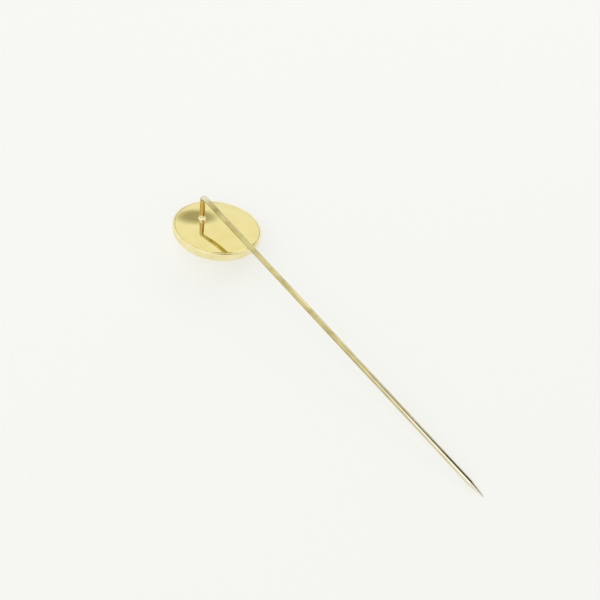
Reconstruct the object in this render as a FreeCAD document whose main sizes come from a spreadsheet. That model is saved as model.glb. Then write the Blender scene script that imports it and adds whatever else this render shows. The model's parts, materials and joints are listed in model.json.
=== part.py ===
import FreeCAD
import Part
import Sketcher
import math
import os

# A stick pin: a round pressed button with a gently domed back, and one bent wire soldered to the back.
# The button frame has +Z out of the button's back, z = 0 at the rim and +X along the stem.

DRIVING = {
    # button
    "rim_radius": 7.65,
    "shell_depth": 2.04,
    "corner_radius": 1.2,
    "lip_radius": 0.2,
    "shell_sheet": 0.35,
    "dome_height": 0.77,
    "plate_sheet": 0.4,
    "seam_gap": 0.03,
    # front ornament
    "bead_radius": 2.0,
    "collar_wire_radius": 0.3,
    # pin wire
    "wire_radius": 0.45,
    "stem_length": 63.6,
    "point_length": 2.6,
    "point_end_radius": 0.06,
    "bend_radius": 0.62,
    "post_reach": 0.992,
    "post_depth": 4.604,
    "post_side_lean": -6.7,
    # where the post stands on the back
    "foot_behind_centre": 2.615,
    "foot_to_side": 1.361,
    "foot_lift": 0.06,
    # solder
    "solder_base_radius": 0.75,
    "solder_top_radius": 0.5,
    "solder_rise": 0.75,
    "solder_sink": 0.2,
    # how the pin lies on a table
    "side_lean": 20.62,
    "nose_up": 2.63,
}

SETTLE_PASSES = 12

doc = FreeCAD.newDocument("stick_pin")
sheet = doc.addObject("Spreadsheet::Sheet", "Dimensions")


def fill_sheet(values):
    """Adds one named cell for each value, below the cells already there."""
    first_row = len(cells) + 1
    for row, (name, value) in enumerate(values.items(), first_row):
        sheet.set(f"A{row}", name)
        sheet.set(f"B{row}", f"{value:.9f}")
        sheet.setAlias(f"B{row}", name)
    cells.update(values)
    doc.recompute()


def button_floor(up):
    """Height, along up, of the lowest point of the shell's rounded corner in the button frame."""
    outward = math.hypot(up.x, up.y)
    corner = cells["corner_radius"]
    across = cells["rim_radius"] - corner
    below = cells["shell_depth"] - corner
    return -across * outward - below * up.z - corner


def settle_wire(up, floor):
    """Droop of the stem with the shoulder of its point on the table, and the wire's corner and foot."""
    behind = cells["foot_behind_centre"]
    side = cells["foot_to_side"]
    foot_radius = math.hypot(behind, side)
    back_height = dome * (1.0 - (foot_radius / mouth) ** 2)
    foot = FreeCAD.Vector(-behind, -side, back_height + cells["foot_lift"])
    post = FreeCAD.Vector(cells["post_reach"], 0.0, -cells["post_depth"])
    to_shoulder = cells["stem_length"] - cells["point_length"]
    droop = 0.0
    for _ in range(SETTLE_PASSES):
        turn = FreeCAD.Rotation(0.0, math.degrees(droop), -cells["post_side_lean"])
        corner = foot - turn.multVec(post)
        fall = (up.dot(corner) - floor - cells["wire_radius"]) / to_shoulder
        droop = math.asin(fall / math.hypot(up.x, up.z)) + math.atan2(up.x, up.z)
    return math.degrees(droop), corner, foot


cells = {}
fill_sheet(DRIVING)
rim = cells["rim_radius"]
dome = cells["dome_height"]
mouth = rim - cells["shell_sheet"]

level = FreeCAD.Rotation(0.0, -cells["nose_up"], -cells["side_lean"])
up_in_button = level.inverted().multVec(FreeCAD.Vector(0.0, 0.0, 1.0))
table_height = button_floor(up_in_button)
stem_droop, wire_corner, wire_foot = settle_wire(up_in_button, table_height)

post_angle = math.atan2(cells["post_depth"], cells["post_reach"])
fill_sheet({
    "dome_sphere_radius": (mouth**2 + dome**2) / (2.0 * dome),
    "plate_radius": mouth - cells["seam_gap"],
    "bead_centre_depth": -(table_height + cells["bead_radius"]) / up_in_button.z,
    "post_turn": 180.0 - math.degrees(post_angle),
    "bend_run": cells["bend_radius"] * math.tan((math.pi - post_angle) / 2.0),
})


# ---------------------------------------------------------------- helpers

def new_body(name):
    body = doc.addObject("PartDesign::Body", name)
    body.Label = name
    return body


def new_sketch(body, role, name):
    """A sketch on one of the body's own origin planes."""
    sketch = body.newObject("Sketcher::SketchObject", name)
    plane = next(feature for feature in body.Origin.OriginFeatures if feature.Role == role)
    sketch.AttachmentSupport = [(plane, "")]
    sketch.MapMode = "FlatFace"
    return sketch


def line(sketch, start, end):
    segment = Part.LineSegment(FreeCAD.Vector(*start, 0.0), FreeCAD.Vector(*end, 0.0))
    return sketch.addGeometry(segment, False)


def arc(sketch, centre, radius, start_degrees, end_degrees):
    circle = Part.Circle(FreeCAD.Vector(*centre, 0.0), FreeCAD.Vector(0.0, 0.0, 1.0), radius)
    curve = Part.ArcOfCircle(circle, math.radians(start_degrees), math.radians(end_degrees))
    return sketch.addGeometry(curve, False)


def constrain(sketch, kind, *places):
    sketch.addConstraint(Sketcher.Constraint(kind, *places))


def bind(sketch, kind, places, name, expression, value):
    """A dimension of the sketch that reads the sheet."""
    index = sketch.addConstraint(Sketcher.Constraint(kind, *places, value))
    sketch.renameConstraint(index, name)
    sketch.setExpression(f"Constraints.{name}", expression)


def revolve(body, sketch, axis, name):
    feature = body.newObject("PartDesign::Revolution", name)
    feature.Profile = sketch
    feature.ReferenceAxis = (sketch, [axis])
    feature.Angle = 360.0
    body.Tip = feature
    return feature


START, END, CENTRE = 1, 2, 3
ORIGIN = (-1, START)
H_AXIS = -1
V_AXIS = -2


# ---------------------------------------------------------------- front shell

def front_shell():
    """Pressed cup: flat front, rounded corner, straight wall, and a softened lip round the back plate."""
    sheet_thickness = cells["shell_sheet"]
    corner_radius = cells["corner_radius"]
    lip_radius = cells["lip_radius"]
    face = -cells["shell_depth"]
    corner_place = (rim - corner_radius, face + corner_radius)
    body = new_body("front_shell")
    sketch = new_sketch(body, "XZ_Plane", "shell_profile")
    lip = arc(sketch, (rim - lip_radius, -lip_radius), lip_radius, 0.0, 90.0)
    corner = arc(sketch, corner_place, corner_radius, -90.0, 0.0)
    inner_corner = arc(sketch, corner_place, corner_radius - sheet_thickness, -90.0, 0.0)
    top = line(sketch, (mouth, 0.0), (rim - lip_radius, 0.0))
    wall = line(sketch, (rim, -lip_radius), (rim, corner_place[1]))
    front = line(sketch, (corner_place[0], face), (0.0, face))
    centre = line(sketch, (0.0, face), (0.0, face + sheet_thickness))
    inside = line(sketch, (0.0, face + sheet_thickness), (corner_place[0], face + sheet_thickness))
    inner_wall = line(sketch, (mouth, corner_place[1]), (mouth, 0.0))
    constrain(sketch, "Coincident", inner_corner, CENTRE, corner, CENTRE)
    constrain(sketch, "Coincident", top, START, inner_wall, END)
    constrain(sketch, "Coincident", top, END, lip, END)
    constrain(sketch, "Coincident", wall, START, lip, START)
    constrain(sketch, "Coincident", wall, END, corner, END)
    constrain(sketch, "Coincident", front, START, corner, START)
    constrain(sketch, "Coincident", centre, START, front, END)
    constrain(sketch, "Coincident", inside, START, centre, END)
    constrain(sketch, "Coincident", inside, END, inner_corner, START)
    constrain(sketch, "Coincident", inner_wall, START, inner_corner, END)
    for flat in (top, front, inside):
        constrain(sketch, "Horizontal", flat)
    for upright in (wall, centre, inner_wall):
        constrain(sketch, "Vertical", upright)
    constrain(sketch, "Horizontal", lip, CENTRE, lip, START)
    constrain(sketch, "Vertical", lip, CENTRE, lip, END)
    for bend in (corner, inner_corner):
        constrain(sketch, "Vertical", bend, CENTRE, bend, START)
        constrain(sketch, "Horizontal", bend, CENTRE, bend, END)
    constrain(sketch, "PointOnObject", centre, START, V_AXIS)
    constrain(sketch, "PointOnObject", top, START, H_AXIS)
    bind(sketch, "Radius", (lip,), "lip_radius", "Dimensions.lip_radius", lip_radius)
    bind(sketch, "Radius", (corner,), "corner_radius", "Dimensions.corner_radius", corner_radius)
    bind(sketch, "Radius", (inner_corner,), "inner_corner_radius",
         "Dimensions.corner_radius - Dimensions.shell_sheet", corner_radius - sheet_thickness)
    bind(sketch, "DistanceX", (*ORIGIN, wall, START), "rim", "Dimensions.rim_radius", rim)
    bind(sketch, "DistanceY", (front, START, *ORIGIN), "depth", "Dimensions.shell_depth", -face)
    revolve(body, sketch, "V_Axis", "shell_turned")
    return body


# ---------------------------------------------------------------- back plate

def back_plate():
    """Thin plate pressed to a gentle dome, let into the mouth of the shell."""
    thickness = cells["plate_sheet"]
    radius = cells["dome_sphere_radius"]
    edge = cells["plate_radius"]
    centre_height = dome - radius
    top_angle = math.degrees(math.acos(edge / radius))
    under_angle = math.degrees(math.acos(edge / (radius - thickness)))
    top_edge = centre_height + math.sqrt(radius**2 - edge**2)
    under_edge = centre_height + math.sqrt((radius - thickness) ** 2 - edge**2)
    body = new_body("back_plate")
    sketch = new_sketch(body, "XZ_Plane", "dome_profile")
    top = arc(sketch, (0.0, centre_height), radius, top_angle, 90.0)
    under = arc(sketch, (0.0, centre_height), radius - thickness, under_angle, 90.0)
    middle = line(sketch, (0.0, dome), (0.0, dome - thickness))
    rim_line = line(sketch, (edge, top_edge), (edge, under_edge))
    constrain(sketch, "Coincident", under, CENTRE, top, CENTRE)
    constrain(sketch, "Coincident", middle, START, top, END)
    constrain(sketch, "Coincident", middle, END, under, END)
    constrain(sketch, "Coincident", rim_line, START, top, START)
    constrain(sketch, "Coincident", rim_line, END, under, START)
    constrain(sketch, "PointOnObject", top, CENTRE, V_AXIS)
    constrain(sketch, "PointOnObject", middle, START, V_AXIS)
    constrain(sketch, "Vertical", middle)
    constrain(sketch, "Vertical", rim_line)
    bind(sketch, "Radius", (top,), "top_radius", "Dimensions.dome_sphere_radius", radius)
    bind(sketch, "Radius", (under,), "under_radius",
         "Dimensions.dome_sphere_radius - Dimensions.plate_sheet", radius - thickness)
    bind(sketch, "DistanceX", (*ORIGIN, rim_line, START), "plate_edge", "Dimensions.plate_radius", edge)
    bind(sketch, "DistanceY", (*ORIGIN, middle, START), "dome", "Dimensions.dome_height", dome)
    revolve(body, sketch, "V_Axis", "dome_turned")
    return body


# ---------------------------------------------------------------- pin wire

def pin_wire():
    """One wire: straight stem with a conical point, a tight bend, and the post. +X runs to the point."""
    radius = cells["wire_radius"]
    length = cells["stem_length"]
    taper_start = length - cells["point_length"]
    run = cells["bend_run"]
    end_radius = cells["point_end_radius"]
    bend = cells["bend_radius"]
    body = new_body("pin_wire")

    stem = new_sketch(body, "XZ_Plane", "stem_profile")
    axis = line(stem, (run, 0.0), (length, 0.0))
    blunt = line(stem, (length, 0.0), (length, end_radius))
    taper = line(stem, (length, end_radius), (taper_start, radius))
    side = line(stem, (taper_start, radius), (run, radius))
    root = line(stem, (run, radius), (run, 0.0))
    outline = (axis, blunt, taper, side, root)
    for edge, following in zip(outline, outline[1:] + outline[:1]):
        constrain(stem, "Coincident", edge, END, following, START)
    constrain(stem, "Horizontal", axis)
    constrain(stem, "Vertical", blunt)
    constrain(stem, "Horizontal", side)
    constrain(stem, "Vertical", root)
    constrain(stem, "PointOnObject", axis, START, H_AXIS)
    bind(stem, "DistanceX", (*ORIGIN, axis, START), "run", "Dimensions.bend_run", run)
    bind(stem, "DistanceX", (*ORIGIN, axis, END), "length", "Dimensions.stem_length", length)
    bind(stem, "DistanceX", (taper, END, taper, START), "point", "Dimensions.point_length",
         cells["point_length"])
    bind(stem, "DistanceY", (root, END, root, START), "radius", "Dimensions.wire_radius", radius)
    bind(stem, "DistanceY", (blunt, START, blunt, END), "blunt", "Dimensions.point_end_radius",
         end_radius)
    revolve(body, stem, "H_Axis", "stem_turned")

    turn = cells["post_turn"]
    bend_end = (
        run + bend * math.cos(math.radians(90.0 + turn)),
        -bend + bend * math.sin(math.radians(90.0 + turn)),
    )
    foot = (cells["post_reach"], -cells["post_depth"])
    path = new_sketch(body, "XZ_Plane", "post_path")
    curve = arc(path, (run, -bend), bend, 90.0, 90.0 + turn)
    post = line(path, bend_end, foot)
    constrain(path, "Tangent", curve, END, post, START)
    constrain(path, "PointOnObject", curve, START, H_AXIS)
    constrain(path, "Vertical", curve, CENTRE, curve, START)
    bind(path, "Radius", (curve,), "bend", "Dimensions.bend_radius", bend)
    bind(path, "DistanceX", (*ORIGIN, curve, START), "run", "Dimensions.bend_run", run)
    bind(path, "DistanceX", (*ORIGIN, post, END), "reach", "Dimensions.post_reach", foot[0])
    bind(path, "DistanceY", (post, END, *ORIGIN), "post_drop", "Dimensions.post_depth", -foot[1])

    section = new_sketch(body, "YZ_Plane", "wire_section")
    circle = section.addGeometry(Part.Circle(FreeCAD.Vector(), FreeCAD.Vector(0.0, 0.0, 1.0), radius), False)
    constrain(section, "Coincident", circle, CENTRE, *ORIGIN)
    bind(section, "Radius", (circle,), "radius", "Dimensions.wire_radius", radius)
    section.setExpression("AttachmentOffset.Base.z", "Dimensions.bend_run")

    pipe = body.newObject("PartDesign::AdditivePipe", "post_swept")
    pipe.Profile = section
    pipe.Spine = path
    body.Tip = pipe
    return body


# ---------------------------------------------------------------- front ornament

def front_bead():
    """Round bead in the middle of the front, flattened where it meets the shell."""
    radius = cells["bead_radius"]
    centre_depth = cells["bead_centre_depth"]
    face = -cells["shell_depth"]
    flat = math.sqrt(radius**2 - (centre_depth + face) ** 2)
    flat_angle = math.degrees(math.asin((centre_depth + face) / radius))
    body = new_body("front_bead")
    sketch = new_sketch(body, "XZ_Plane", "bead_profile")
    ball = arc(sketch, (0.0, -centre_depth), radius, -90.0, flat_angle)
    seat = line(sketch, (flat, face), (0.0, face))
    middle = line(sketch, (0.0, face), (0.0, -centre_depth - radius))
    constrain(sketch, "Coincident", seat, START, ball, END)
    constrain(sketch, "Coincident", middle, START, seat, END)
    constrain(sketch, "Coincident", middle, END, ball, START)
    constrain(sketch, "PointOnObject", ball, CENTRE, V_AXIS)
    constrain(sketch, "PointOnObject", seat, END, V_AXIS)
    constrain(sketch, "PointOnObject", ball, START, V_AXIS)
    constrain(sketch, "Horizontal", seat)
    bind(sketch, "Radius", (ball,), "radius", "Dimensions.bead_radius", radius)
    bind(sketch, "DistanceY", (ball, CENTRE, *ORIGIN), "centre_depth",
         "Dimensions.bead_centre_depth", centre_depth)
    bind(sketch, "DistanceY", (seat, END, *ORIGIN), "seat_depth", "Dimensions.shell_depth", -face)
    revolve(body, sketch, "V_Axis", "bead_turned")
    return body


def bead_collar():
    """Plain wire ring round the foot of the bead."""
    ring = doc.addObject("Part::Torus", "bead_collar")
    ring.Label = "bead_collar"
    ring.setExpression(
        "Radius1",
        "Dimensions.bead_radius + Dimensions.collar_wire_radius + Dimensions.seam_gap",
    )
    ring.setExpression("Radius2", "Dimensions.collar_wire_radius")
    return ring


# ---------------------------------------------------------------- solder

def solder_joint(plate, wire):
    """Cone of solder between the foot of the post and the back."""
    cone = doc.addObject("Part::Cone", "solder_cone")
    cone.setExpression("Radius1", "Dimensions.solder_base_radius")
    cone.setExpression("Radius2", "Dimensions.solder_top_radius")
    cone.setExpression("Height", "Dimensions.solder_rise")
    sink = cells["foot_lift"] + cells["solder_sink"]
    on_back = wire_foot - FreeCAD.Vector(0.0, 0.0, sink)
    cone.Placement = rest.multiply(FreeCAD.Placement(on_back, FreeCAD.Rotation()))
    over_plate = doc.addObject("Part::Cut", "solder_over_plate")
    over_plate.Base = cone
    over_plate.Tool = plate
    joint = doc.addObject("Part::Cut", "solder_joint")
    joint.Label = "solder_joint"
    joint.Base = over_plate
    joint.Tool = wire
    return joint


# ---------------------------------------------------------------- assembly

shell = front_shell()
plate = back_plate()
wire = pin_wire()
bead = front_bead()
collar = bead_collar()
doc.recompute()

wire_in_button = FreeCAD.Placement(
    wire_corner,
    FreeCAD.Rotation(0.0, stem_droop, -cells["post_side_lean"]),
)
collar_in_button = FreeCAD.Placement(
    FreeCAD.Vector(0.0, 0.0, -cells["shell_depth"] - cells["collar_wire_radius"]),
    FreeCAD.Rotation(),
)
in_button = {
    shell: FreeCAD.Placement(),
    plate: FreeCAD.Placement(),
    wire: wire_in_button,
    bead: FreeCAD.Placement(),
    collar: collar_in_button,
}


def place_all(placement):
    for part, own_place in in_button.items():
        part.Placement = placement.multiply(own_place)
    doc.recompute()


def resting_placement():
    """The stem points along +X, and the origin is under the middle of the whole pin, on the table."""
    stem = level.multVec(wire_in_button.Rotation.multVec(FreeCAD.Vector(1.0, 0.0, 0.0)))
    yaw = -math.degrees(math.atan2(stem.y, stem.x))
    turned = FreeCAD.Placement(
        FreeCAD.Vector(),
        FreeCAD.Rotation(yaw, 0.0, 0.0).multiply(level),
    )
    place_all(turned)
    whole = Part.makeCompound([part.Shape for part in in_button])
    extent = whole.optimalBoundingBox(False, False)
    middle = FreeCAD.Vector(extent.Center.x, extent.Center.y, extent.ZMin)
    return FreeCAD.Placement(-middle, turned.Rotation)


rest = resting_placement()
place_all(rest)
solder = solder_joint(plate, wire)
doc.recompute()

# ---------------------------------------------------------------- checks and export

for item in doc.Objects:
    if "Invalid" in item.State or "Error" in item.State:
        raise RuntimeError(f"{item.Label} failed: {item.State}")

for part in (shell, plate, wire, bead, collar, solder):
    shape = part.Shape
    if shape.isNull() or not shape.isValid() or len(shape.Solids) != 1:
        raise RuntimeError(f"{part.Label} is not one valid solid")
    print(f"{part.Label}: {shape.Volume:.3f} mm3")
    shape.exportStep(os.path.join("parts", f"{part.Label}.step"))
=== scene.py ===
import json
import math

import bpy
from mathutils import Matrix, Quaternion, Vector, noise


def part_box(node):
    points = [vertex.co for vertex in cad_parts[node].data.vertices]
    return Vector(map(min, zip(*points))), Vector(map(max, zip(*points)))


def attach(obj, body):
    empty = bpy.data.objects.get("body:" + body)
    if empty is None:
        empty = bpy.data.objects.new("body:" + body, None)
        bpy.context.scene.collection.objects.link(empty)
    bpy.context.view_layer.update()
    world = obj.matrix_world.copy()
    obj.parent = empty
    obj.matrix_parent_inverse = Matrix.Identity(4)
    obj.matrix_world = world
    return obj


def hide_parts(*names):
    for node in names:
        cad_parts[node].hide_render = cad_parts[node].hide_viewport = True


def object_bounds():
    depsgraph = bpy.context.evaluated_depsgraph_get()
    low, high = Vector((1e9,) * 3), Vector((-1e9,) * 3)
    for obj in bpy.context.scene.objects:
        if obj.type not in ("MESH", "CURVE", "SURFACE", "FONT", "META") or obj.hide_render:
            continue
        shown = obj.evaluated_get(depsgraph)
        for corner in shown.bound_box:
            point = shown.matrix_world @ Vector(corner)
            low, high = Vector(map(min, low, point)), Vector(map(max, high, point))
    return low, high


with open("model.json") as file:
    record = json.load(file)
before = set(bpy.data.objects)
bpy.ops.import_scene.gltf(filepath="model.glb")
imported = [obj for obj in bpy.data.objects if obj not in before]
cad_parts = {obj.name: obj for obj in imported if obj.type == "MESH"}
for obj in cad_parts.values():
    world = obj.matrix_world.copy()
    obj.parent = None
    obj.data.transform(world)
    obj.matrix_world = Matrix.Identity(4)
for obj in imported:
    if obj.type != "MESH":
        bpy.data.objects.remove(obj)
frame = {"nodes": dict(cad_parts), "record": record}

cad_low, cad_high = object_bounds()

MM = 0.001

# Button, in its own frame: +Z out of the back, z = 0 at the rim, +X along the stem.
RIM_RADIUS = 7.65 * MM
SHELL_DEPTH = 2.04 * MM
CORNER_RADIUS = 1.2 * MM
LIP_RADIUS = 0.2 * MM
SHELL_SHEET = 0.35 * MM
PLATE_SHEET = 0.4 * MM
SEAM_GAP = 0.03 * MM
MOUTH_RADIUS = RIM_RADIUS - SHELL_SHEET
PLATE_RADIUS = MOUTH_RADIUS - SEAM_GAP
DOME_HEIGHT = 0.77 * MM
DOME_SPHERE = (MOUTH_RADIUS**2 + DOME_HEIGHT**2) / (2.0 * DOME_HEIGHT)
FACE = -SHELL_DEPTH

# Front ornament.
BEAD_RADIUS = 2.0 * MM
COLLAR_WIRE = 0.3 * MM
COLLAR_RADIUS = BEAD_RADIUS + COLLAR_WIRE + SEAM_GAP
COLLAR_TWISTS = 34

# Pin wire, in its own frame: +X along the stem from the corner where stem and post would meet, +Z up.
BEND_RADIUS = 0.62 * MM
POST_REACH = 0.992 * MM
POST_DEPTH = 4.604 * MM
POST_SIDE_LEAN = math.radians(-6.7)
POINT_LENGTH = 2.6 * MM
POINT_END_RADIUS = 0.06 * MM

# Camera.
VIEW_AZIMUTH = math.radians(-47.75)
VIEW_ELEVATION = math.radians(59.36)
VIEW_DISTANCE = 101.18 * MM
VIEW_ROLL = math.radians(0.19)
AIM = Vector((-7.564 * MM, 2.568 * MM, 0.0))
SENSOR = 36.0
LENS = 36.0

AROUND = 192


# ---------------------------------------------------------------- where things are, from the frame

def button_matrix():
    """The button's frame in the row frame, read from the flat front of the CAD shell."""
    mesh = frame["nodes"]["front_shell"].data
    downward = [face for face in mesh.polygons if face.normal.z < 0.0]
    lean = max(downward, key=lambda face: face.area).normal.copy()
    flat = [face for face in downward if face.normal.dot(lean) > 0.9999]
    front = max(face.center.dot(lean) for face in flat)
    flat = [face for face in flat if face.center.dot(lean) > front - SHELL_SHEET / 2.0]
    area = sum(face.area for face in flat)
    centre = sum((face.center * face.area for face in flat), Vector()) / area
    up = -lean
    along = (stem_axis - up * stem_axis.dot(up)).normalized()
    across = up.cross(along)
    rotation = Matrix((along, across, up)).transposed().to_4x4()
    return Matrix.Translation(centre - up * FACE) @ rotation


def wire_matrix():
    """The wire's frame: +X along the stem, and the post's plane leaning a little to one side."""
    up = button.to_3x3() @ Vector((0.0, 0.0, 1.0))
    up = (up - stem_axis * up.dot(stem_axis)).normalized()
    up.rotate(Quaternion(stem_axis, -POST_SIDE_LEAN))
    across = up.cross(stem_axis)
    rotation = Matrix((stem_axis, across, up)).transposed().to_4x4()
    corner = stem_middle - stem_axis * (stem_wall / 2.0 + BEND_RUN)
    return Matrix.Translation(corner) @ rotation


pin_mount = next(mount for mount in frame["record"]["mounts"] if mount["name"] == "pin")
stem_axis = Vector(pin_mount["axis"]).normalized()
stem_middle = Vector(pin_mount["pos_m"])
stem_wall = pin_mount["dims"]["length_mm"] * MM
WIRE_RADIUS = pin_mount["dims"]["r_mm"] * MM
POST_ANGLE = math.atan2(POST_DEPTH, POST_REACH)
BEND_RUN = BEND_RADIUS * math.tan((math.pi - POST_ANGLE) / 2.0)
STEM_LENGTH = BEND_RUN + stem_wall + POINT_LENGTH

button = button_matrix()
pin = wire_matrix()
bead_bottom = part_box("front_bead")[0][2]


# ---------------------------------------------------------------- mesh helpers

def new_object(name, vertices, faces, place, smooth=True):
    mesh = bpy.data.meshes.new(name)
    mesh.from_pydata(vertices, [], faces)
    mesh.validate()
    mesh.update()
    if smooth:
        mesh.polygons.foreach_set("use_smooth", [True] * len(mesh.polygons))
    thing = bpy.data.objects.new(name, mesh)
    bpy.context.scene.collection.objects.link(thing)
    thing.matrix_world = place
    return thing


def stand_for(thing, node, material):
    """The piece takes the CAD node's place, and rides on the one rigid body."""
    thing.data.materials.append(material)
    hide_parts(node)
    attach(thing, "root")
    return thing


def lathe(name, profile, place, shift=None, closed=True):
    """Turns a closed profile of (radius, height) points about Z. shift moves each vertex a little."""
    vertices = []
    for step in range(AROUND):
        angle = 2.0 * math.pi * step / AROUND
        for radius, height in profile:
            point = Vector((radius * math.cos(angle), radius * math.sin(angle), height))
            vertices.append(point + shift(point) if shift else point)
    count = len(profile)
    faces = []
    spans = count if closed else count - 1
    for step in range(AROUND):
        here = step * count
        there = (step + 1) % AROUND * count
        for index in range(spans):
            after = (index + 1) % count
            faces.append((here + index, there + index, there + after, here + after))
    return new_object(name, vertices, faces, place)


def merge_axis(thing):
    """Joins the vertices that a lathe leaves on its axis."""
    weld = thing.modifiers.new("weld", "WELD")
    weld.merge_threshold = 0.0005 * MM
    return thing


def arc_points(centre, radius, start, end, count):
    """Points on an arc of a profile, both ends included, angles in degrees."""
    points = []
    for step in range(count + 1):
        angle = math.radians(start + (end - start) * step / count)
        points.append((centre[0] + radius * math.cos(angle), centre[1] + radius * math.sin(angle)))
    return points


def straight_points(start, end, count):
    """Points between two profile points, both left out."""
    points = []
    for step in range(1, count):
        share = step / count
        points.append((
            start[0] + (end[0] - start[0]) * share,
            start[1] + (end[1] - start[1]) * share,
        ))
    return points


def ripple(point, size, height, seed):
    """Smooth unevenness of a pressed sheet: a height for this place."""
    return height * noise.noise(Vector((point.x, point.y, point.z)) / size + Vector((seed, 0.0, 0.0)))


def tube_faces(rings, around, first=0, closed=False):
    """Quads between the rings of a tube whose vertices start at first."""
    faces = []
    for ring in range(rings if closed else rings - 1):
        here = first + ring * around
        there = first + (ring + 1) % rings * around
        for step in range(around):
            following = (step + 1) % around
            faces.append((here + step, here + following, there + following, there + step))
    return faces


# ---------------------------------------------------------------- materials

def material(name):
    made = bpy.data.materials.new(name)
    made.use_nodes = True
    return made, made.node_tree.nodes, made.node_tree.links


def object_place(nodes, links, stretch):
    """Object coordinates, stretched."""
    place = nodes.new("ShaderNodeTexCoord")
    mapping = nodes.new("ShaderNodeMapping")
    mapping.inputs["Scale"].default_value = stretch
    links.new(place.outputs["Object"], mapping.inputs["Vector"])
    return mapping.outputs["Vector"]


def noise_map(nodes, links, vector, scale, detail, low, high, to_low, to_high):
    """A noise whose range low..high becomes to_low..to_high."""
    field = nodes.new("ShaderNodeTexNoise")
    field.inputs["Scale"].default_value = scale
    field.inputs["Detail"].default_value = detail
    links.new(vector, field.inputs["Vector"])
    span = nodes.new("ShaderNodeMapRange")
    span.inputs["From Min"].default_value = low
    span.inputs["From Max"].default_value = high
    span.inputs["To Min"].default_value = to_low
    span.inputs["To Max"].default_value = to_high
    links.new(field.outputs["Fac"], span.inputs["Value"])
    return span.outputs["Result"]


def mix_colour(nodes, links, factor, first, second):
    """first and second are colours or sockets."""
    mix = nodes.new("ShaderNodeMix")
    mix.data_type = "RGBA"
    links.new(factor, mix.inputs["Factor"])
    for socket, value in ((mix.inputs[6], first), (mix.inputs[7], second)):
        if isinstance(value, tuple):
            socket.default_value = (*value, 1.0)
        else:
            links.new(value, socket)
    return mix.outputs[2]


def calculate(nodes, links, operation, first, second):
    maths = nodes.new("ShaderNodeMath")
    maths.operation = operation
    maths.use_clamp = operation == "ADD"
    for socket, value in zip(maths.inputs, (first, second)):
        if isinstance(value, float):
            socket.default_value = value
        else:
            links.new(value, socket)
    return maths.outputs["Value"]


def along_x(nodes, links, start, end):
    """0 before start and 1 after end, along the piece's own X, in metres."""
    place = nodes.new("ShaderNodeTexCoord")
    split = nodes.new("ShaderNodeSeparateXYZ")
    span = nodes.new("ShaderNodeMapRange")
    span.interpolation_type = "SMOOTHSTEP"
    span.inputs["From Min"].default_value = start
    span.inputs["From Max"].default_value = end
    links.new(place.outputs["Object"], split.inputs["Vector"])
    links.new(split.outputs["X"], span.inputs["Value"])
    return span.outputs["Result"]


def metal(name, colour, tarnish, roughness, scratch_stretch, scratch_depth):
    """Plated metal: clouded colour, uneven polish, hairline scratches and tiny pits."""
    made, nodes, links = material(name)
    shader = nodes["Principled BSDF"]
    shader.inputs["Metallic"].default_value = 1.0
    even = object_place(nodes, links, (1.0, 1.0, 1.0))
    clouds = noise_map(nodes, links, even, 420.0, 4.0, 0.42, 0.72, 0.0, 1.0)
    shade = mix_colour(nodes, links, clouds, colour, tarnish)
    links.new(shade, shader.inputs["Base Color"])
    polish = noise_map(nodes, links, even, 900.0, 5.0, 0.3, 0.75, roughness * 0.75, roughness * 1.6)
    drawn = object_place(nodes, links, scratch_stretch)
    lines = noise_map(nodes, links, drawn, 1.0, 3.0, 0.35, 0.7, 0.0, 1.0)
    pits = noise_map(nodes, links, even, 6500.0, 2.0, 0.62, 0.8, 1.0, 0.0)
    links.new(polish, shader.inputs["Roughness"])
    relief = calculate(nodes, links, "MULTIPLY", lines, pits)
    bump = nodes.new("ShaderNodeBump")
    bump.inputs["Distance"].default_value = scratch_depth
    bump.inputs["Strength"].default_value = 0.35
    links.new(relief, bump.inputs["Height"])
    links.new(bump.outputs["Normal"], shader.inputs["Normal"])
    return made, shade, nodes, links, shader


def back_gold():
    return metal(
        "back_gold", (0.86, 0.765, 0.345), (0.84, 0.72, 0.30),
        roughness=0.045, scratch_stretch=(700.0, 9000.0, 700.0), scratch_depth=0.0012 * MM,
    )[0]


def shell_gold():
    return metal(
        "shell_gold", (0.92, 0.83, 0.48), (0.86, 0.74, 0.38),
        roughness=0.16, scratch_stretch=(9000.0, 800.0, 800.0), scratch_depth=0.0016 * MM,
    )[0]


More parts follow.
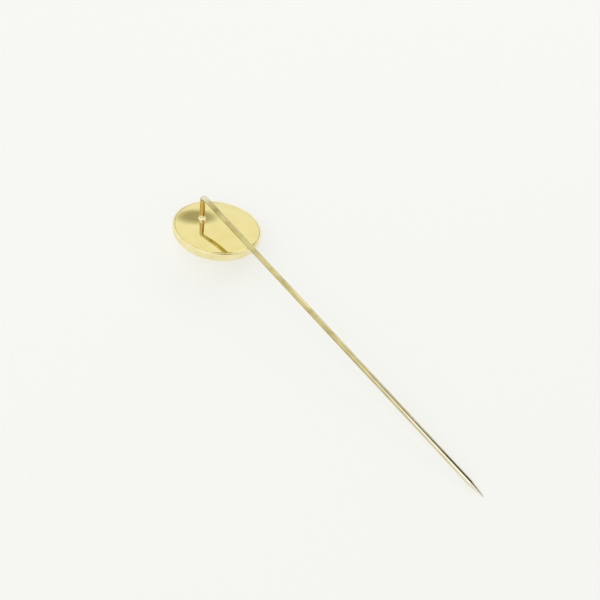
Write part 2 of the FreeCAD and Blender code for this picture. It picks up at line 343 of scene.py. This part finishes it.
def wire_gold_painted_shade():
    """Gold plating painted darker than the back's gold as painted shade, worn pale at the bend and towards
    the point, with a painted reflection of the gold back in brown down the post.
    """
    # Painted shade: the colour and tarnish below are the back's gold darkened, to about three quarters and to
    # half.
    made, shade, nodes, links, shader = metal(
        "wire_gold_painted_shade", (0.66, 0.58, 0.27), (0.42, 0.36, 0.15),
        roughness=0.08, scratch_stretch=(300.0, 14000.0, 14000.0), scratch_depth=0.0016 * MM,
    )
    to_point = along_x(nodes, links, 26.0 * MM, 60.0 * MM)
    blotches = noise_map(
        nodes, links, object_place(nodes, links, (1.0, 3.0, 3.0)), 300.0, 5.0, 0.35, 0.65, -0.25, 0.35
    )
    wear = calculate(nodes, links, "ADD", to_point, blotches)
    wear = calculate(nodes, links, "MULTIPLY", wear, to_point)
    at_bend = calculate(nodes, links, "SUBTRACT", 1.0, along_x(nodes, links, 0.6 * MM, 2.4 * MM))
    place = nodes.new("ShaderNodeTexCoord")
    split = nodes.new("ShaderNodeSeparateXYZ")
    top = nodes.new("ShaderNodeMapRange")
    top.inputs["From Min"].default_value = -0.75 * MM
    top.inputs["From Max"].default_value = 0.1 * MM
    links.new(place.outputs["Object"], split.inputs["Vector"])
    links.new(split.outputs["Z"], top.inputs["Value"])
    at_bend = calculate(nodes, links, "MULTIPLY", at_bend, top.outputs["Result"])
    wear = calculate(nodes, links, "ADD", wear, at_bend)
    worn = mix_colour(nodes, links, wear, shade, (0.80, 0.76, 0.58))
    # Painted reflection: the post is painted brown-orange near the bend, the gold back as seen in it.
    post = nodes.new("ShaderNodeMapRange")
    post.interpolation_type = "SMOOTHSTEP"
    post.inputs["From Min"].default_value = -0.6 * MM
    post.inputs["From Max"].default_value = -2.0 * MM
    links.new(split.outputs["Z"], post.inputs["Value"])
    near_bend = calculate(nodes, links, "LESS_THAN", split.outputs["X"], 3.0 * MM)
    post_reflection_mask = calculate(nodes, links, "MULTIPLY", post.outputs["Result"], near_bend)
    with_post_reflection = mix_colour(nodes, links, post_reflection_mask, worn, (0.60, 0.42, 0.17))
    links.new(with_post_reflection, shader.inputs["Base Color"])
    return made


def solder_metal():
    return metal(
        "solder_metal", (0.90, 0.84, 0.62), (0.74, 0.64, 0.40),
        roughness=0.14, scratch_stretch=(900.0, 900.0, 900.0), scratch_depth=0.003 * MM,
    )[0]


def bead_gold():
    return metal(
        "bead_gold", (0.91, 0.80, 0.44), (0.86, 0.71, 0.35),
        roughness=0.07, scratch_stretch=(2500.0, 2500.0, 700.0), scratch_depth=0.0008 * MM,
    )[0]


# ---------------------------------------------------------------- pieces

def front_shell():
    """Pressed cup: flat front with a turned groove, rounded corner, straight wall and a burnished lip."""
    corner = (RIM_RADIUS - CORNER_RADIUS, FACE + CORNER_RADIUS)
    groove = RIM_RADIUS - 1.7 * MM
    profile = [(0.0, FACE)]
    profile += straight_points((0.0, FACE), (groove - 0.22 * MM, FACE), 20)
    profile += [
        (groove - 0.2 * MM, FACE),
        (groove - 0.12 * MM, FACE + 0.03 * MM),
        (groove, FACE + 0.07 * MM),
        (groove + 0.12 * MM, FACE + 0.03 * MM),
        (groove + 0.2 * MM, FACE),
    ]
    profile += straight_points((groove + 0.22 * MM, FACE), (corner[0], FACE), 6)
    profile += arc_points(corner, CORNER_RADIUS, -90.0, 0.0, 20)
    profile += straight_points(profile[-1], (RIM_RADIUS, -LIP_RADIUS), 8)
    profile += arc_points((RIM_RADIUS - LIP_RADIUS, -LIP_RADIUS), LIP_RADIUS, 0.0, 90.0, 10)
    inner_lip = 0.05 * MM
    profile += arc_points((MOUTH_RADIUS + inner_lip, -inner_lip), inner_lip, 90.0, 180.0, 4)
    profile += straight_points(profile[-1], (MOUTH_RADIUS, corner[1]), 8)
    profile += arc_points(corner, CORNER_RADIUS - SHELL_SHEET, 0.0, -90.0, 10)
    profile += straight_points((corner[0], FACE + SHELL_SHEET), (0.0, FACE + SHELL_SHEET), 16)
    profile += [(0.0, FACE + SHELL_SHEET)]

    def pressed(point):
        out = math.hypot(point.x, point.y) / RIM_RADIUS
        if out < 0.01:
            return Vector()
        height = ripple(point, 3.4 * MM, 0.012 * MM, 3.0) * min(1.0, out)
        return Vector((point.x, point.y, 0.0)).normalized() * height * 0.6 + Vector((0.0, 0.0, height * 0.4))

    shell = lathe("front_shell_pressed", profile, button, pressed, closed=False)
    return merge_axis(shell)


def on_dome(radius, sphere):
    """Height of the plate's top at this radius, or of its underside for the smaller sphere."""
    return DOME_HEIGHT - DOME_SPHERE + math.sqrt(sphere**2 - radius**2)


def back_plate():
    """Gently domed plate with its edge eased and the slight waviness of a pressed sheet."""
    rings = 60
    ease = 0.04 * MM
    under_sphere = DOME_SPHERE - PLATE_SHEET
    top = []
    under = []
    for step in range(rings + 1):
        radius = (PLATE_RADIUS - ease) * step / rings
        top.append((radius, on_dome(radius, DOME_SPHERE)))
        under.append((radius, on_dome(radius, under_sphere)))
    edge_top = (PLATE_RADIUS, on_dome(PLATE_RADIUS, DOME_SPHERE) - ease)
    edge_under = (PLATE_RADIUS, on_dome(PLATE_RADIUS, under_sphere) + ease)
    profile = under + [edge_under, edge_top] + top[::-1]

    def pressed(point):
        out = math.hypot(point.x, point.y) / RIM_RADIUS
        fade = max(0.0, 1.0 - out**6)
        height = ripple(point, 2.9 * MM, 0.003 * MM, 11.0) + ripple(point, 5.5 * MM, 0.008 * MM, 5.0)
        return Vector((0.0, 0.0, height * fade))

    plate = lathe("back_plate_domed", profile, button, pressed, closed=False)
    return merge_axis(plate)


def wire_path():
    """Centre line from foot to point: (place, section radius, flattening)."""
    foot = Vector((POST_REACH, 0.0, -POST_DEPTH))
    turn = math.pi - POST_ANGLE
    centre = Vector((BEND_RUN, 0.0, -BEND_RADIUS))
    bend_end = math.pi / 2.0 + turn
    bend_foot = centre + Vector((math.cos(bend_end), 0.0, math.sin(bend_end))) * BEND_RADIUS
    path = []
    steps = 14
    for step in range(steps):
        path.append((foot.lerp(bend_foot, step / steps), WIRE_RADIUS, 0.0))
    steps = 36
    for step in range(steps + 1):
        share = step / steps
        angle = math.pi / 2.0 + turn * (1.0 - share)
        place = centre + Vector((math.cos(angle), 0.0, math.sin(angle))) * BEND_RADIUS
        path.append((place, WIRE_RADIUS, 0.07 * math.sin(math.pi * share)))
    shoulder = BEND_RUN + stem_wall
    steps = 120
    for step in range(1, steps + 1):
        path.append((Vector((BEND_RUN + stem_wall * step / steps, 0.0, 0.0)), WIRE_RADIUS, 0.0))
    steps = 22
    for step in range(1, steps + 1):
        share = step / steps
        radius = WIRE_RADIUS + (POINT_END_RADIUS - WIRE_RADIUS) * share
        path.append((Vector((shoulder + POINT_LENGTH * share, 0.0, 0.0)), radius, 0.0))
    return path


def pin_wire():
    """One drawn wire: the section is a little flattened in the bend, and the point is filed by hand."""
    path = wire_path()
    around = 40
    vertices = []
    for index, (place, radius, flat) in enumerate(path):
        before = path[max(index - 1, 0)][0]
        after = path[min(index + 1, len(path) - 1)][0]
        ahead = (after - before).normalized()
        side = Vector((0.0, 1.0, 0.0))
        out = ahead.cross(side)
        for step in range(around):
            angle = 2.0 * math.pi * step / around
            filed = 0.0
            if place.x > BEND_RUN + stem_wall:
                filed = -0.04 * (1.0 + math.cos(3.0 * angle)) * min(1.0, (WIRE_RADIUS - radius) / (0.2 * MM))
            reach = radius * (1.0 + filed)
            wide = side * math.cos(angle) * reach * (1.0 + flat)
            thick = out * math.sin(angle) * reach * (1.0 - flat)
            vertices.append(place + wide + thick)
    faces = tube_faces(len(path), around)
    last = (len(path) - 1) * around
    vertices.append(path[0][0])
    vertices.append(path[-1][0] + Vector((0.5 * POINT_END_RADIUS, 0.0, 0.0)))
    for step in range(around):
        following = (step + 1) % around
        faces.append((following, step, len(vertices) - 2))
        faces.append((last + step, last + following, len(vertices) - 1))
    return new_object("pin_wire_drawn", vertices, faces, pin)


def solder_joint():
    """Smooth fillet of solder that has run round the foot of the post and wetted the back."""
    foot = button.inverted() @ (pin @ Vector((POST_REACH, 0.0, -POST_DEPTH)))
    head = button.inverted() @ (pin @ Vector((0.0, 0.0, 0.0)))
    lean = head - foot
    lean = Vector((lean.x / lean.z, lean.y / lean.z, 0.0))
    rise = 0.74 * MM
    spread = 0.24 * MM
    rings = 22
    around = 72
    vertices = []
    for ring in range(rings + 1):
        share = ring / rings
        for step in range(around):
            angle = 2.0 * math.pi * step / around
            flow = Vector((math.cos(angle), math.sin(angle), 0.0))
            uneven = 1.0 + 0.1 * noise.noise(flow * 1.3 + Vector((2.0, 7.0, 0.0)))
            radius = WIRE_RADIUS * 1.02 + spread * uneven * (1.0 - share) ** 2.4
            spot = Vector((foot.x, foot.y, 0.0)) + flow * radius + lean * (rise * share)
            out = math.hypot(spot.x, spot.y)
            spot.z = on_dome(out, DOME_SPHERE) - 0.02 * MM + rise * share * (1.0 + 0.12 * math.cos(angle))
            vertices.append(spot)
    faces = tube_faces(rings + 1, around)
    top = rings * around
    faces.append(tuple(reversed(range(around))))
    faces.append(tuple(range(top, top + around)))
    return new_object("solder_fillet", vertices, faces, button)


def front_bead():
    """Polished bead, flat where it sits on the shell."""
    depth = bead_depth()
    seat = math.degrees(math.asin((FACE + depth) / BEAD_RADIUS))
    profile = arc_points((0.0, -depth), BEAD_RADIUS, -90.0, seat, 64)
    profile += straight_points(profile[-1], (0.0, FACE), 6)
    profile += [(0.0, FACE)]
    return merge_axis(lathe("front_bead_polished", profile, button, closed=False))


def bead_depth():
    """Depth of the bead's centre below the rim, from the lowest point of the CAD bead."""
    up = (button.to_3x3().inverted() @ Vector((0.0, 0.0, 1.0))).normalized()
    rim_height = button.translation.z
    return (rim_height - bead_bottom - BEAD_RADIUS) / up.z


def bead_collar():
    """Two strands twisted together and bent round the foot of the bead."""
    steps = COLLAR_TWISTS * 14
    around = 14
    strand = COLLAR_WIRE * 0.52
    vertices = []
    faces = []
    for number in range(2):
        first = len(vertices)
        for step in range(steps):
            angle = 2.0 * math.pi * step / steps
            twist = COLLAR_TWISTS * angle + math.pi * number
            outward = Vector((math.cos(angle), math.sin(angle), 0.0))
            middle = outward * COLLAR_RADIUS + Vector((0.0, 0.0, FACE - COLLAR_WIRE))
            offset = COLLAR_WIRE - strand
            middle += outward * math.cos(twist) * offset + Vector((0.0, 0.0, math.sin(twist) * offset))
            for part in range(around):
                turn = 2.0 * math.pi * part / around
                vertices.append(
                    middle + outward * math.cos(turn) * strand + Vector((0.0, 0.0, math.sin(turn) * strand))
                )
        faces += tube_faces(steps, around, first, closed=True)
    return new_object("bead_collar_twisted", vertices, faces, button)


stand_for(front_shell(), "front_shell", shell_gold())
stand_for(back_plate(), "back_plate", back_gold())
stand_for(pin_wire(), "pin_wire", wire_gold_painted_shade())
stand_for(solder_joint(), "solder_joint", solder_metal())
bead_metal = bead_gold()
stand_for(front_bead(), "front_bead", bead_metal)
stand_for(bead_collar(), "bead_collar", bead_metal)


# ---------------------------------------------------------------- floor, light and camera

forward = Vector((math.sin(VIEW_AZIMUTH), math.cos(VIEW_AZIMUTH), 0.0))
right = Vector((forward.y, -forward.x, 0.0))

# The table is lit from within, like a light table, which keeps the shadows on it faint. Its glow
# is painted a little brighter towards the far left, a painted fall-off of the light.
TABLE_SIZE = 1.6
FLOOR_COLOUR = (0.34, 0.34, 0.325, 1.0)
FLOOR_GLOW = 0.67
FLOOR_NEAR = -45.0 * MM
FLOOR_FAR = 60.0 * MM


def direction(from_forward, elevation):
    """Unit vector, angles in degrees: from_forward is to the right of the view, elevation above the table."""
    turn = math.radians(from_forward)
    rise = math.radians(elevation)
    level_way = forward * math.cos(turn) + right * math.sin(turn)
    return level_way * math.cos(rise) + Vector((0.0, 0.0, math.sin(rise)))


def table():
    half = TABLE_SIZE / 2.0
    corners = [(-half, -half, 0.0), (half, -half, 0.0), (half, half, 0.0), (-half, half, 0.0)]
    place = Matrix.Translation((0.0, 0.0, cad_low.z))
    top = new_object("table", corners, [(0, 1, 2, 3)], place, smooth=False)
    made, nodes, links = material("table_white")
    shader = nodes["Principled BSDF"]
    shader.inputs["Roughness"].default_value = 0.75
    shader.inputs["Specular IOR Level"].default_value = 0.2
    # Painted fall-off of the light: the glow's colour is brighter towards the far left.
    far = nodes.new("ShaderNodeVectorMath")
    far.operation = "DOT_PRODUCT"
    spot = nodes.new("ShaderNodeTexCoord")
    links.new(spot.outputs["Object"], far.inputs[0])
    far.inputs[1].default_value = (forward - right).normalized()
    span = nodes.new("ShaderNodeMapRange")
    span.inputs["From Min"].default_value = FLOOR_NEAR
    span.inputs["From Max"].default_value = FLOOR_FAR
    links.new(far.outputs["Value"], span.inputs["Value"])
    shade = mix_colour(nodes, links, span.outputs["Result"], (0.90, 0.905, 0.87), (0.92, 0.925, 0.905))
    shader.inputs["Base Color"].default_value = FLOOR_COLOUR
    links.new(shade, shader.inputs["Emission Color"])
    shader.inputs["Emission Strength"].default_value = FLOOR_GLOW
    top.data.materials.append(made)


def area_light(name, towards, distance, size, power):
    data = bpy.data.lights.new(name, "AREA")
    data.shape = "DISK"
    data.size = size
    data.energy = power
    lamp = bpy.data.objects.new(name, data)
    bpy.context.scene.collection.objects.link(lamp)
    lamp.location = AIM + towards * distance
    lamp.rotation_mode = "QUATERNION"
    lamp.rotation_quaternion = towards.to_track_quat("Z", "Y")
    return lamp


# Darker things in the room, as the metal sees them: bearing from the view, elevation, radius to the
# edge of the full shade and to where it ends (degrees), and shade.
ROOM = (
    (-3.5, 15.0, 3.0, 10.0, 0.45),
    (60.0, 20.0, 10.0, 20.0, 0.2),
    (84.0, 54.0, 20.0, 28.0, 0.02),
    (-131.0, 6.0, 5.0, 12.0, 0.3),
)


def studio_world():
    """White room with a few soft dark things in it."""
    world = bpy.data.worlds.new("studio")
    bpy.context.scene.world = world
    world.use_nodes = True
    nodes = world.node_tree.nodes
    links = world.node_tree.links
    place = nodes.new("ShaderNodeTexCoord")
    colour = (1.0, 0.995, 0.985)
    for bearing, elevation, inner, outer, shade in ROOM:
        near = nodes.new("ShaderNodeVectorMath")
        near.operation = "DOT_PRODUCT"
        near.inputs[1].default_value = direction(bearing, elevation)
        links.new(place.outputs["Generated"], near.inputs[0])
        spot = nodes.new("ShaderNodeMapRange")
        spot.interpolation_type = "SMOOTHSTEP"
        spot.inputs["From Min"].default_value = math.cos(math.radians(outer))
        spot.inputs["From Max"].default_value = math.cos(math.radians(inner))
        links.new(near.outputs["Value"], spot.inputs["Value"])
        colour = mix_colour(nodes, links, spot.outputs["Result"], colour, (shade, shade * 0.93, shade * 0.75))
    background = nodes["Background"]
    background.inputs["Strength"].default_value = 1.0
    links.new(colour, background.inputs["Color"])


def camera():
    look = direction(0.0, -math.degrees(VIEW_ELEVATION))
    across = look.cross(Vector((0.0, 0.0, 1.0))).normalized()
    above = across.cross(look)
    rolled_across = across * math.cos(VIEW_ROLL) + above * math.sin(VIEW_ROLL)
    rolled_above = above * math.cos(VIEW_ROLL) - across * math.sin(VIEW_ROLL)
    data = bpy.data.cameras.new("camera")
    data.lens = LENS
    data.sensor_width = SENSOR
    data.clip_start = 0.002
    data.clip_end = 10.0
    viewer = bpy.data.objects.new("camera", data)
    bpy.context.scene.collection.objects.link(viewer)
    rotation = Matrix((rolled_across, rolled_above, -look)).transposed().to_4x4()
    viewer.matrix_world = Matrix.Translation(AIM - look * VIEW_DISTANCE) @ rotation
    bpy.context.scene.camera = viewer


table()
area_light("key", direction(50.0, 44.0), distance=0.4, size=0.2, power=0.1)
area_light("fill", direction(-160.0, 55.0), distance=0.6, size=0.4, power=0.14)
studio_world()
camera()
bpy.context.scene.view_settings.view_transform = "Standard"
